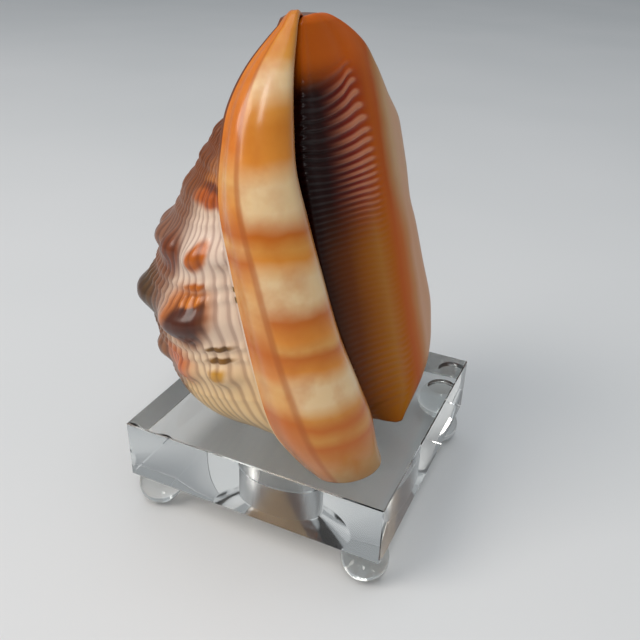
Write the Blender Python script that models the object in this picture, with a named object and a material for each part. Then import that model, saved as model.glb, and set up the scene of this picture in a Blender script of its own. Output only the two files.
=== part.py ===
"""Helmet shell of the bullmouth kind, standing spire down on a clear acrylic block with ball feet.

The shell grew as one piece, so it is one closed solid: the thick outer lip, the knobbed body whorl,
the smooth parietal shield with its folds, and the long aperture between lip and shield, open to the
hollow inside. Its spire sits in the countersunk bore of a square block, and the block stands on four
balls that are glued under its corners.

Lengths in the tables are millimetres and are turned to metres when a mesh is made.
The shell's own frame has the aperture towards -y, the outer lip at -x, and z up from the block's top.
"""

from math import cos, pi, radians, sin, sqrt

import bmesh
import bpy
import numpy as np

MM = 0.001

# Driving dimensions of the holder
BLOCK_SIDE = 100.0
BLOCK_THICKNESS = 23.4
BLOCK_EDGE_BREAK = 0.4
BORE_RADIUS = 17.4
COUNTERSINK_RADIUS = 29.3
COUNTERSINK_DEPTH = 9.7
BORE_SIDES = 40
FOOT_RADIUS = 8.35
FOOT_SINK = 1.75
FOOT_FROM_CENTRE = 42.5
FOOT_FLAT_RADIUS = 2.0
FOOT_SIDES = 16
FOOT_RINGS = 8
GLUE_GAP = 0.3

# Driving dimensions of the shell
SHELL_TURN = 84.0
APERTURE_PLANE_AT_BASE = -39.0
APERTURE_PLANE_LEAN = 0.261
COIL_AXIS = np.array([-1.5, 2.0])
LOWEST_ROW = 1.2
HIGHEST_ROW = 135.5
TIP_CENTRE = np.array([-6.5, 1.5])
TIP_RISE = 1.3
SPIRE_DEPTH = 17.0

# Inner edge of the outer lip: height, x
LIP_EDGE = [(-2, -18), (6, -19.6), (17, -20), (31, -23.5), (47, -27.7), (67, -30.3), (86, -32),
            (97, -32.7), (111, -29.4), (124.5, -24), (136, -17.4), (140, -15.5)]
# Back edge of the outer lip, where it rolls onto the body: height, x, y
LIP_BACK = [(-1, -40.6, -26.6), (6, -44.5, -23.5), (15.3, -48.7, -19.1), (35, -51.2, -13),
            (52, -51, -8.4), (71.5, -50.3, -3.3), (91.7, -48, 2), (104.8, -43.6, 3.8),
            (115.4, -38.8, 4.6), (125.6, -30.6, 3.8), (134.6, -21, 1.1), (140, -16.5, -2)]
# Free edge of the parietal shield: height, x
SHIELD_EDGE = [(-1, 0), (1.5, 6), (4.5, 15.3), (10.7, 28.5), (15.8, 33.5), (24.9, 37.7), (33.6, 39.7),
               (48.3, 38.2), (65, 36.8), (73.5, 35.3), (86, 36.3), (99.5, 36.1), (110.4, 30.4),
               (120.4, 25), (128.8, 18), (135, 6.8), (138.3, -2)]
# Radius of the body whorl in the valleys between the knobs: height, radius
BODY_RADIUS = [(-2, 31), (0, 32), (5, 38), (10, 43.3), (15, 46.8), (20, 48.6), (30, 50.4), (36, 51.8),
               (42, 53), (50, 53.5), (60, 50.8), (70, 48), (80, 43), (90, 37.5), (100, 31.6),
               (110, 23.5), (120, 16), (130, 11.5), (138, 8)]
# How the whorl's radius changes as it coils round: angle, factor
BODY_ROUND = [(-60, 0.95), (-30, 0.97), (0, 0.97), (45, 0.98), (90, 1.0), (120, 1.01), (150, 0.995),
              (180, 0.95), (205, 0.88)]
# How far the rows of knobs climb towards the lip: angle, rise
ROW_CLIMB = [(-60, -7), (90, -3), (130, -1.4), (163, 0), (177, 3), (186, 4.5), (205, 6)]
# Width of the aperture between the lip and the columella: height, width
APERTURE_WIDTH = [(-1, 16), (5, 13), (12, 10), (30, 10), (50, 11), (90, 12), (110, 11), (124, 8.5),
                  (130, 6.5), (138, 4)]
# How much of the full hollow opens behind the aperture: height, share
HOLLOW_SHARE = [(-1, 0.08), (6, 0.12), (14, 0.35), (26, 0.85), (36, 1), (122, 1), (130, 0.75),
                (135.5, 0.3), (140, 0.25)]
# How far the shield stands off the body as a flange: height, share
SHIELD_FLANGE = [(-1, 0.12), (6, 0.35), (14, 0.75), (30, 1), (100, 1), (115, 0.8), (125, 0.55),
                 (133, 0.35), (138, 0.2)]
# Spire and base, seen from below: distance from the bore's axis, height
SPIRE_PROFILE = [(0, -SPIRE_DEPTH), (9, -13), (17, -8.6), (24, -3.5), (26.3, -1.6), (29.8, 0.9),
                 (33, 0.9), (70, 0.9)]
SPIRE_RINGS = (9.0, 17.2, 24.0, 29.8)
SPIRE_CLEARANCE = 33.0

# Rows of knobs: height, spread, knob height, ridge height, knob half width and unseen step in
# degrees, and the angles of the knobs on the side that shows
KNOB_ROWS = [
    (29.8, 4.0, 2.6, 0.8, 6.0, 20.0, (139.5, 162, 180)),
    (49.2, 5.8, 4.2, 1.2, 10.5, 33.5, (130, 163.5)),
    (70.5, 4.4, 2.4, 0.8, 5.6, 16.0, (131.5, 146.5, 165, 178)),
    (87.0, 3.2, 0.9, 0.5, 4.0, 13.0, (139, 152, 165, 177)),
    (96.5, 1.9, 0.7, 0.35, 3.0, 9.0, (135, 144, 153, 162, 171)),
    (104.0, 2.4, 1.1, 0.3, 3.4, 11.0, (133, 145, 157, 169)),
]
FIRST_ANGLE = -60.0

# Folds across the columella: height, how many of them lie below it
FOLDS_BELOW = [(0, 0), (14, 5), (36, 14), (75, 33), (84.8, 38), (87, 39), (91, 41), (95.8, 43),
               (98.8, 44), (101.6, 45), (105.3, 46), (108.8, 47), (112.2, 48), (115.5, 49), (118.4, 50),
               (122, 51), (124.5, 52)]
# How steeply a fold runs down towards the lip, and how much it curls: height, slope or bend
FOLD_LEAN = [(10, -0.34), (25, -0.36), (70, -0.28), (85, -0.20), (93, -0.12), (101, -0.04),
             (108.5, 0.05), (113, 0.17), (119, 0.31), (124, 0.36)]
FOLD_BEND = [(60, 0), (85, 0.003), (95, 0.006), (108, 0.0075), (113, 0.011), (118, 0.0155),
             (124, 0.014)]
# How far the folds stand out: height, relief. The solid has the tall ones, counted from the spire.
FOLD_RELIEF = [(77, 0), (79, 0.5), (84, 0.9), (100, 1.2), (114, 1.1), (121, 0.7), (124.5, 0)]
LOWEST_FOLD = 35
HIGHEST_FOLD = 52

# Thickness of the whorl's wall, and of the lip from its chord to its crown, as a share of its width
WALL = 5.5
LIP_CROWN = 0.42
# Where the rings over the tip lie between the highest row and the tip
TIP_RING_SHARES = (0.28, 0.62)
ROWS_BELOW_FOLDS = 22
ROWS_ABOVE_FOLDS = 4

# Control points of one level outline, clockwise from the lip's inner edge
STRETCHES = (("lip", 8), ("groove", 1), ("body", 12), ("flange", 2), ("shield", 4),
             ("columella", 4), ("hollow", 12))


def first_of_each():
    """Index of the first control point of every stretch of the outline."""
    starts = {}
    total = 0
    for name, count in STRETCHES:
        starts[name] = total
        total += count
    starts["end"] = total
    return starts


FIRST = first_of_each()


def curve(points, at):
    """Smooth line through (position, value, ...) points, without overshoot, held past its ends."""
    table = np.array(points, float)
    places = table[:, 0]
    values = table[:, 1:]
    gap = np.diff(places)
    slope = np.diff(values, axis=0) / gap[:, None]
    share = (gap[:-1] / (gap[:-1] + gap[1:]))[:, None]
    middle = slope[:-1] * (1 - share) + slope[1:] * share
    steepest = 3 * np.minimum(abs(slope[:-1]), abs(slope[1:]))
    tangent = np.vstack([slope[:1], middle, slope[-1:]])
    turns = slope[:-1] * slope[1:] <= 0
    tangent[1:-1] = np.where(turns, 0, np.clip(middle, -steepest, steepest))
    at = np.clip(np.asarray(at, float), places[0], places[-1])
    i = np.clip(np.searchsorted(places, at) - 1, 0, len(gap) - 1)
    result = blend(values[i], values[i + 1], tangent[i], tangent[i + 1],
                   ((at - places[i]) / gap[i])[..., None], gap[i][..., None])
    return result[..., 0] if result.shape[-1] == 1 else result


def blend(start, end, leave, arrive, t, reach):
    """Cubic from start to end at share t, with the slopes given for each end."""
    return ((2 * t**3 - 3 * t**2 + 1) * start + (t**3 - 2 * t**2 + t) * reach * leave
            + (3 * t**2 - 2 * t**3) * end + (t**3 - t**2) * reach * arrive)


def pair(x, y):
    """Points with the x and y of two arrays or numbers."""
    x, y = np.broadcast_arrays(x, y)
    return np.stack([x, y], -1)


def aperture_plane(z):
    """The y of the plane that the lip's edge and the shield lie in."""
    return APERTURE_PLANE_AT_BASE + APERTURE_PLANE_LEAN * z


def on_whorl(angle, radius):
    """Points at an angle in degrees and a radius about the coil's axis."""
    turn = np.radians(angle)
    return COIL_AXIS + pair(np.cos(turn) * radius, np.sin(turn) * radius)


def angle_and_radius(points):
    """Angle in degrees, counted up from the shield's side, and radius about the coil's axis."""
    offset = points[..., :2] - COIL_AXIS
    angle = np.degrees(np.arctan2(offset[..., 1], offset[..., 0]))
    return np.where(angle < -120, angle + 360, angle), np.hypot(offset[..., 0], offset[..., 1])


def row_height(angle, z):
    """Height measured along the spiral rows, which climb towards the lip."""
    upper = 1 - curve([(95, 0), (125, 1)], z)
    lower = curve([(0, 0), (25, 1)], z)
    return z - curve(ROW_CLIMB, angle) * upper * lower


def body_radius(angle, z):
    """Radius of the body whorl between its knobs."""
    factor = curve(BODY_ROUND, angle)
    under_shield = np.clip((60 - angle) / 80, 0, 1) * 0.10 * np.clip((z - 50) / 50, 0, 1)
    return curve(BODY_RADIUS, row_height(angle, z)) * (factor + under_shield)


def lip_points(z):
    """The rolled outer lip, from its inner edge over its crown to its back edge."""
    edge = pair(curve(LIP_EDGE, z), aperture_plane(z))
    back = curve(LIP_BACK, z)
    across = back - edge
    width = np.linalg.norm(across, axis=-1)
    outward = pair(-across[:, 1], across[:, 0]) / width[:, None]
    points = [edge]
    for degrees in (12, 38, 66, 92, 120, 150):
        turn = radians(degrees)
        crown = (LIP_CROWN * width * sin(turn)**0.92)[:, None]
        points.append(edge + across * (1 - cos(turn)) / 2 + outward * crown)
    return points + [back]


def body_points(z, start, end_angle):
    """The body whorl, from its groove behind the lip round to the back of the shield."""
    start_angle, start_radius = angle_and_radius(start)
    step_up = start_radius - body_radius(start_angle, z)
    points = [start]
    for share in np.linspace(0, 1, 12)[1:]:
        angle = start_angle + (end_angle - start_angle) * share
        near_lip = np.clip(1 - (start_angle - angle) / 30, 0, 1)**2
        points.append(on_whorl(angle, body_radius(angle, z) + step_up * near_lip))
    return points


def hollow_points(z, columella_end, lip_edge):
    """The hollow behind the aperture, shallow near both ends of the shell and deep between."""
    plane = aperture_plane(z)
    radius = curve(BODY_RADIUS, z)
    depth = COIL_AXIS[1] + radius - plane
    wall = np.minimum(WALL, 0.2 * radius + 1)
    x = columella_end[:, 0]
    full = [pair(x - 0.5, plane + 0.19 * depth),
            pair(x + 0.2, plane + 0.32 * depth),
            pair(x + 2.5, plane + 0.47 * depth),
            on_whorl(82, body_radius(82, z) - wall - 0.15 * radius)]
    for angle in (103, 125, 147, 166):
        full.append(on_whorl(angle, body_radius(angle, z) - wall))
    full.append(pair(lip_edge[:, 0] - 0.16 * np.minimum(30, radius), plane + 0.24 * depth))
    full.append(pair(lip_edge[:, 0] - 0.03 * depth, plane + 0.12 * depth))
    open_share = curve(HOLLOW_SHARE, z)[:, None]
    points = [columella_end]
    for i, deep in enumerate(full):
        share = (i + 1) / (len(full) + 1)
        dip = np.minimum(7, 0.3 * depth) * sin(pi * share)**0.7
        shallow = columella_end * (1 - share) + lip_edge * share + pair(0, dip)
        points.append(shallow * (1 - open_share) + deep * open_share)
    return points + [lip_edge + np.array([-0.35, 0.9])]


def outline_points(z):
    """Control points of the level outlines at the heights z: an array of heights, points, x and y."""
    plane = aperture_plane(z)
    lip = lip_points(z)
    roll = curve([(-1, 0.5), (10, 1), (100, 1), (125, 0.7), (139, 0.3)], z)[:, None]
    groove = lip[-1] + roll * np.array([0.6, 2.3])
    body_start = lip[-1] + roll * np.array([3.2, 2.4])
    flange = curve(SHIELD_FLANGE, z)[:, None]
    shield_edge = pair(curve(SHIELD_EDGE, z), plane)
    flange_back = shield_edge + flange * np.array([5.2, 9.0])
    body = body_points(z, body_start, angle_and_radius(flange_back)[0] + 15)
    flange_root = body[-1] * 0.35 + flange_back * 0.65 + flange * np.array([0.6, 2.0])
    columella_x = lip[0][:, 0] + curve(APERTURE_WIDTH, z)
    face_x = np.minimum(13, columella_x + (shield_edge[:, 0] - columella_x) * 0.55)
    swell = curve([(-1, 0.3), (15, 1.3), (100, 1.3), (125, 0.7), (138, 0.1)], z)
    shield = [shield_edge]
    for share, rise in ((0.72, 0.75), (0.42, 1.0), (0.15, 0.6)):
        shield.append(pair(face_x + (shield_edge[:, 0] - face_x) * share, plane - swell * rise))
    dip = np.minimum(8, 0.11 * (COIL_AXIS[1] + curve(BODY_RADIUS, z) - plane))
    columella = []
    for share in (1.0, 0.7, 0.42, 0.18):
        columella.append(pair(columella_x + (face_x - columella_x) * share, plane + dip * (1 - share)**2))
    hollow = hollow_points(z, pair(columella_x, plane + dip), lip[0])
    everything = lip + [groove] + body + [flange_root, flange_back] + shield + columella + hollow
    return np.stack(everything, 1)


TABLE_HEIGHTS = np.linspace(-2, 140, 285)
TABLE = outline_points(TABLE_HEIGHTS)


def control_at(point, z):
    """One control point of the outline at the heights z, with those heights."""
    x = np.interp(z, TABLE_HEIGHTS, TABLE[:, point, 0])
    y = np.interp(z, TABLE_HEIGHTS, TABLE[:, point, 1])
    return np.stack([x, y, z], -1)


def fold_slope(point, z):
    """How far a fold has dropped or climbed from the shield's edge of it to this control point."""
    place = control_at(point, z)
    depth = np.clip(place[:, 1] - aperture_plane(z), 0, 9)
    seen_x = place[:, 0] - 1.71 * depth
    return -1.39 * depth + curve(FOLD_LEAN, z) * seen_x + curve(FOLD_BEND, z) * seen_x**2


def row_heights_at(rows):
    """Height of every control point on every row. Rows follow the folds across the columella."""
    columella = FIRST["columella"]
    hollow = FIRST["hollow"]
    fade = curve([(LOWEST_ROW, 0), (16, 1), (112, 1), (130, 0)], rows)
    near_base = 1 - curve([(LOWEST_ROW, 0), (14, 1)], rows)
    heights = []
    for point in range(FIRST["end"]):
        follow = np.interp(point, [columella - 3, columella, hollow + 1, hollow + 5], [0, 1, 1, 0])
        on_block = point <= FIRST["groove"] or point >= FIRST["flange"] + 1
        foot = 0.4 if on_block else LOWEST_ROW
        heights.append(rows + follow * fade * fold_slope(point, rows) + (foot - LOWEST_ROW) * near_base)
    return np.stack(heights, 1)


def smooth_rows(rows, steps):
    """Points of every row, steps[i] of them after control point i, and their place on the outline."""
    heights = row_heights_at(rows)
    points = np.stack([control_at(i, heights[:, i]) for i in range(FIRST["end"])], 1)
    following = np.roll(points, -1, 1)
    reach = np.linalg.norm((following - points)[..., :2], axis=-1)[..., None] + 1e-9
    slope = (following - points) / reach
    before = np.roll(reach, 1, 1)
    share = before / (before + reach)
    tangent = np.roll(slope, 1, 1) * (1 - share) + slope * share
    arriving = np.roll(tangent, -1, 1)
    columns = []
    places = []
    for i, count in enumerate(steps):
        for j in range(count):
            columns.append(blend(points[:, i], following[:, i], tangent[:, i], arriving[:, i],
                                 j / count, reach[:, i]))
            places.append(i + j / count)
    return np.stack(columns, 1), np.array(places)


def knob_relief(angle, z):
    """How far the rows of knobs stand off the body whorl."""
    height = row_height(angle, z)
    relief = np.zeros_like(height)
    for level, spread, knob, ridge, half_width, step, seen in KNOB_ROWS:
        band = np.exp(-((height - level) / spread)**2)
        hidden = np.arange(seen[0] - step, FIRST_ANGLE, -step)
        bumps = 0
        for place in (*seen, *hidden):
            reach = np.hypot((height - level) / spread, (angle - place) / half_width)
            bumps = bumps + np.exp(-reach**3)
        relief += band * ridge + knob * np.minimum(bumps, 1.1)
    return relief


def surface_normals(grid):
    """Outward normals of a grid whose columns run clockwise and whose rows run up."""
    along = np.roll(grid, -1, 1) - np.roll(grid, 1, 1)
    up = np.gradient(grid, axis=0)
    normal = np.cross(up, along)
    return normal / (np.linalg.norm(normal, axis=-1, keepdims=True) + 1e-12)


def main_rows():
    """Heights of the rows: even below the folds, one on every crest and trough, even above."""
    fine = np.linspace(0, FOLDS_BELOW[-1][0], 1246)
    counts = np.arange(LOWEST_FOLD, HIGHEST_FOLD + 0.5, 0.5)
    folds = np.interp(counts, curve(FOLDS_BELOW, fine), fine)
    below = np.linspace(LOWEST_ROW, folds[0], ROWS_BELOW_FOLDS + 1)[:-1]
    above = np.linspace(folds[-1], HIGHEST_ROW, ROWS_ABOVE_FOLDS + 1)[1:]
    crests = np.concatenate([np.zeros(len(below)), np.arange(len(folds)) % 2 == 0, np.zeros(len(above))])
    return np.concatenate([below, folds, above]), crests


def column_steps():
    """Columns after each control point: more where the knobs are, fewer in the hollow."""
    steps = [1] * FIRST["end"]
    for i in range(FIRST["body"], FIRST["body"] + 6):
        steps[i] = 3
    for i in range(FIRST["body"] + 6, FIRST["flange"]):
        steps[i] = 2
    return steps


def base_rows(lowest):
    """Rings from the spire's tip out to the lowest row, over the underside of the shell."""
    reach = np.hypot(lowest[:, 0], lowest[:, 1])
    rings = []
    for radius in SPIRE_RINGS:
        share = radius * np.minimum(1, reach / SPIRE_CLEARANCE) / reach
        z = curve(SPIRE_PROFILE, share * reach)
        rings.append(np.column_stack([lowest[:, :2] * share[:, None], z]))
    return rings


def tip_rows(highest, places):
    """Rings over the top of lip and columella, closing between them at the canal."""
    hollow = FIRST["hollow"]
    corners = [0, 3, 7, 10, 20, FIRST["shield"], FIRST["columella"], hollow, hollow + 2, 40, 43]
    rise = np.interp(places, corners, [2.6, 3.9, 3.6, 1.6, 1.6, 2.0, 2.2, 1.6, 0.4, 0.6, 2.6])
    rings = []
    for share in TIP_RING_SHARES:
        flat = TIP_CENTRE + (highest[:, :2] - TIP_CENTRE) * (1 - share)
        lift = sin(pi / 2 * min(1, share / 0.5))
        settle = max(0, (share - 0.5) / 0.5)
        z = (highest[:, 2] + rise * lift) * (1 - settle) + (HIGHEST_ROW + TIP_RISE) * settle
        rings.append(np.column_stack([flat, z]))
    return rings


def shell_grid():
    """All rings of the shell from the spire to the tip, in millimetres."""
    rows, crests = main_rows()
    grid, places = smooth_rows(rows, column_steps())
    normal = surface_normals(grid)
    columella = FIRST["columella"]
    hollow = FIRST["hollow"]
    across = np.interp(places, [columella - 1.2, columella, hollow, hollow + 2.2, hollow + 4],
                       [0, 0.75, 1, 0.8, 0])
    fold = (curve(FOLD_RELIEF, rows) * crests)[:, None] * across
    angle, radius = angle_and_radius(grid)
    body = FIRST["body"]
    end = FIRST["flange"] - 1
    on_body = np.interp(places, [body, body + 0.25, end - 0.5, end + 0.4], [0, 1, 1, 0])
    knob = knob_relief(angle, grid[..., 2]) * on_body
    outward = (grid[..., :2] - COIL_AXIS) / radius[..., None]
    grid = grid + normal * fold[..., None]
    grid[..., :2] += outward * knob[..., None]
    return base_rows(grid[0]) + list(grid) + tip_rows(grid[-1], places)


def new_object(name, shape, material):
    """An object with the mesh in a bmesh, shaded smooth apart from its sharp edges."""
    mesh = bpy.data.meshes.new(name)
    shape.to_mesh(mesh)
    shape.free()
    mesh.shade_smooth()
    mesh.set_sharp_from_angle(angle=radians(35))
    mesh.materials.append(material)
    piece = bpy.data.objects.new(name, mesh)
    bpy.context.scene.collection.objects.link(piece)
    return piece


def closed_by_rings(rings, first_tip, last_tip):
    """A closed bmesh skin over rings of points, with a point at each end."""
    shape = bmesh.new()
    start = shape.verts.new(first_tip * MM)
    loops = [[shape.verts.new(point * MM) for point in ring] for ring in rings]
    finish = shape.verts.new(last_tip * MM)
    count = len(loops[0])
    for i in range(count):
        j = (i + 1) % count
        shape.faces.new((start, loops[0][i], loops[0][j]))
        shape.faces.new((finish, loops[-1][j], loops[-1][i]))
        for low, high in zip(loops, loops[1:]):
            shape.faces.new((low[i], high[i], high[j], low[j]))
    bmesh.ops.recalc_face_normals(shape, faces=shape.faces)
    return shape


def turned(profile, sides):
    """A closed bmesh body turned round z from (radius, height) points that start and end on the axis."""
    rings = []
    for radius, z in profile[1:-1]:
        turn = np.linspace(0, 2 * pi, sides, endpoint=False)
        rings.append(np.column_stack([radius * np.cos(turn), radius * np.sin(turn), np.full(sides, z)]))
    return closed_by_rings(rings, np.array([0, 0, profile[0][1]]), np.array([0, 0, profile[-1][1]]))


def principled(name, colour, roughness, metallic=0.0):
    """A Principled material with one colour."""
    material = bpy.data.materials.new(name)
    material.use_nodes = True
    surface = material.node_tree.nodes["Principled BSDF"]
    surface.inputs["Base Color"].default_value = (*colour, 1.0)
    surface.inputs["Roughness"].default_value = roughness
    surface.inputs["Metallic"].default_value = metallic
    return material


def clear_acrylic(name):
    """Cast acrylic: clear and colourless, with polished faces."""
    material = principled(name, (0.95, 0.96, 0.95), 0.05)
    surface = material.node_tree.nodes["Principled BSDF"]
    surface.inputs["Transmission Weight"].default_value = 1.0
    surface.inputs["IOR"].default_value = 1.49
    return material


def make_shell():
    """The helmet shell, in one closed piece."""
    tip = np.append(TIP_CENTRE, HIGHEST_ROW + TIP_RISE)
    shape = closed_by_rings(shell_grid(), np.array([0.0, 0.0, -SPIRE_DEPTH]), tip)
    bmesh.ops.triangulate(shape, faces=shape.faces, quad_method="SHORT_EDGE")
    shell = new_object("shell", shape, principled("shell_glaze", (0.71, 0.33, 0.12), 0.28))
    shell.rotation_euler.z = radians(SHELL_TURN)
    return shell


def make_block():
    """The square block, bored through its middle, with a wide countersink for the spire."""
    shape = bmesh.new()
    bmesh.ops.create_cube(shape, size=BLOCK_SIDE * MM)
    bmesh.ops.scale(shape, vec=(1, 1, BLOCK_THICKNESS / BLOCK_SIDE), verts=shape.verts)
    bmesh.ops.bevel(shape, geom=shape.edges, offset=BLOCK_EDGE_BREAK * MM, segments=1, affect="EDGES")
    block = new_object("block", shape, clear_acrylic("block_acrylic"))
    block.location.z = -BLOCK_THICKNESS / 2 * MM
    past = 5.0
    flare = past * (COUNTERSINK_RADIUS - BORE_RADIUS) / COUNTERSINK_DEPTH
    half = BLOCK_THICKNESS / 2
    profile = [(0, -half - past), (BORE_RADIUS, -half - past), (BORE_RADIUS, half - COUNTERSINK_DEPTH),
               (COUNTERSINK_RADIUS + flare, half + past), (0, half + past)]
    cutter = new_object("bore_cutter", turned(profile, BORE_SIDES), block.data.materials[0])
    cutter.location = block.location
    cutter.hide_render = True
    cutter.display_type = "WIRE"
    cut = block.modifiers.new("bore", "BOOLEAN")
    cut.operation = "DIFFERENCE"
    cut.solver = "EXACT"
    cut.object = cutter
    return [block, cutter]


def make_feet():
    """Four clear balls, each with a flat glued to the block and a small flat worn on its foot."""
    top = FOOT_RADIUS - FOOT_SINK - GLUE_GAP
    bottom = -sqrt(FOOT_RADIUS**2 - FOOT_FLAT_RADIUS**2)
    turns = np.linspace(np.arcsin(bottom / FOOT_RADIUS), np.arcsin(top / FOOT_RADIUS), FOOT_RINGS)
    profile = [(0, bottom), *((FOOT_RADIUS * cos(turn), FOOT_RADIUS * sin(turn)) for turn in turns), (0, top)]
    material = clear_acrylic("foot_acrylic")
    feet = []
    for name, across, back in (("foot_front_left", -1, -1), ("foot_front_right", 1, -1),
                               ("foot_back_right", 1, 1), ("foot_back_left", -1, 1)):
        foot = new_object(name, turned(profile, FOOT_SIDES), material)
        foot.location.x = across * FOOT_FROM_CENTRE * MM
        foot.location.y = back * FOOT_FROM_CENTRE * MM
        foot.location.z = (-BLOCK_THICKNESS - FOOT_RADIUS + FOOT_SINK) * MM
        feet.append(foot)
    return feet


def stand_on_origin(pieces):
    """Parents the pieces to an empty that puts the middle of their underside at the origin."""
    stand = bpy.data.objects.new("stand", None)
    bpy.context.scene.collection.objects.link(stand)
    bpy.context.view_layer.update()
    corners = []
    for piece in pieces:
        if not piece.hide_render:
            corners.extend(piece.matrix_world @ vertex.co for vertex in piece.data.vertices)
        piece.parent = stand
    places = np.array(corners)
    middle = (places.min(0) + places.max(0)) / 2
    stand.location = (-middle[0], -middle[1], -places[:, 2].min())


def build():
    """Builds the whole object in an empty scene."""
    for old in list(bpy.data.objects):
        bpy.data.objects.remove(old, do_unlink=True)
    stand_on_origin([make_shell(), *make_block(), *make_feet()])


build()
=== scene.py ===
# %% [markdown]
# A helmet shell of the bullmouth kind stands spire down in the countersunk bore of a clear block.
# The frame holds the sizes and places. This lesson dresses it: a finely sculpted shell with three
# finishes, a polished block with a sawn bore, and four clear ball feet.

# %% Load the frame
from math import cos, pi, radians, sin, sqrt

import bmesh
import bpy
import numpy as np
from mathutils import Matrix, Vector


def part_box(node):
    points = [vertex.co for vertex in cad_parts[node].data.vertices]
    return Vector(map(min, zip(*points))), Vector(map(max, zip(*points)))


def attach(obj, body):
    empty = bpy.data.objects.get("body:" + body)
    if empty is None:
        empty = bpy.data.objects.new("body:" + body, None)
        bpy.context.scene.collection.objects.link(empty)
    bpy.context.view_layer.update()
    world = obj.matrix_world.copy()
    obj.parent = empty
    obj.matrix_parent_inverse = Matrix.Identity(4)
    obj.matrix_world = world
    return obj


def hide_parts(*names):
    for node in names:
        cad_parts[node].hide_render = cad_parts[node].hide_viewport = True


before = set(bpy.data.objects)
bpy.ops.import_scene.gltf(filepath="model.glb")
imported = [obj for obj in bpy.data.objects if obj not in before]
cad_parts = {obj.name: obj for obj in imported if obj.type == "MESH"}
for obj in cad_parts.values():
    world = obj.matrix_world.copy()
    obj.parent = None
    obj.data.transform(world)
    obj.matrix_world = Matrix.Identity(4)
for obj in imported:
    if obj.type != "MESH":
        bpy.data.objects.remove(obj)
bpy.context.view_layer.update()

MM = 0.001
low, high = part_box("block")
BLOCK_SIDE = round((high[0] - low[0]) / MM, 2)
BLOCK_THICKNESS = round((high[2] - low[2]) / MM, 2)
BLOCK_TOP = Vector(((low[0] + high[0]) / 2, (low[1] + high[1]) / 2, high[2]))
print("block", BLOCK_SIDE, BLOCK_THICKNESS, "top centre", tuple(BLOCK_TOP))

# %% [markdown]
# Every finish is a tree of nodes, so one small helper adds a node, its settings and its links.
# Colours are written as sRGB hex values, the way a colour picker shows them, and Blender computes
# in linear light, so one function turns the first into the second.

# %% Colours and nodes


def linear(code):
    """Linear RGBA of an sRGB hex colour such as #D9A441."""
    parts = [int(code[i:i + 2], 16) / 255 for i in (1, 3, 5)]
    return (*(c / 12.92 if c <= 0.04045 else ((c + 0.055) / 1.055)**2.4 for c in parts), 1.0)


def add(tree, kind, inputs=None, stops=None, **settings):
    """Adds a node. inputs maps a socket to a value or to the socket that feeds it."""
    node = tree.nodes.new(kind)
    for name, value in settings.items():
        setattr(node, name, value)
    for place, value in (inputs or {}).items():
        if isinstance(value, bpy.types.NodeSocket):
            tree.links.new(value, node.inputs[place])
        else:
            node.inputs[place].default_value = value
    for i, (position, code) in enumerate(stops or ()):
        marks = node.color_ramp.elements
        mark = marks[i] if i < 2 else marks.new(position)
        mark.position = position
        mark.color = linear(code)
    return node


def new_material(name):
    """A material with an empty tree, and the tree."""
    material = bpy.data.materials.new(name)
    material.use_nodes = True
    material.node_tree.nodes.clear()
    return material, material.node_tree


def finish_with(tree, surface):
    """Sends a surface shader to the material's output."""
    add(tree, "ShaderNodeOutputMaterial", {"Surface": surface.outputs[0]})


# %% [markdown]
# The camera comes first, because every later choice is judged through it. Its place was solved from
# the corners of the square block: how far it stands from the middle of the block's top face, how far
# it has walked round, how far it looks down, and a slight roll.

# %% Camera
FOCAL_PIXELS = 726.94
FRAME_PIXELS = 640
SENSOR_WIDTH = 36.0
CAMERA_OFFSET = Vector((99.88, -214.49, 162.60)) * MM
AROUND = radians(24.21)
DOWN = radians(29.003)
ROLL = radians(1.805)

lens = bpy.data.cameras.new("camera")
lens.sensor_width = SENSOR_WIDTH
lens.lens = FOCAL_PIXELS * SENSOR_WIDTH / FRAME_PIXELS
lens.clip_start = 0.01
lens.clip_end = 50.0
camera = bpy.data.objects.new("camera", lens)
bpy.context.scene.collection.objects.link(camera)
backward = Vector((sin(AROUND) * cos(DOWN), -cos(AROUND) * cos(DOWN), sin(DOWN)))
level_right = Vector((0, 0, 1)).cross(backward).normalized()
level_up = backward.cross(level_right)
right = level_right * cos(ROLL) + level_up * sin(ROLL)
up = level_up * cos(ROLL) - level_right * sin(ROLL)
camera.matrix_world = Matrix.LocRotScale(
    BLOCK_TOP + CAMERA_OFFSET, Matrix((right, up, backward)).transposed(), None)
bpy.context.scene.camera = camera
print("lens", round(lens.lens, 2), "mm")

# %% [markdown]
# A pale table and soft light keep the eye on the shell. A broad softbox high on the left models the lip
# and the knobs, a tall narrow one above the camera draws the long glint down the lip, and a wide one
# overhead opens the shadows. The view transform is the plain one, so a hex colour means what it says.

# %% Table and lights
scene = bpy.context.scene
scene.view_settings.view_transform = "Standard"
scene.world = bpy.data.worlds.new("studio")
scene.world.use_nodes = True
scene.world.node_tree.nodes["Background"].inputs["Color"].default_value = linear("#DCE2E6")
scene.world.node_tree.nodes["Background"].inputs["Strength"].default_value = 0.40

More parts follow.
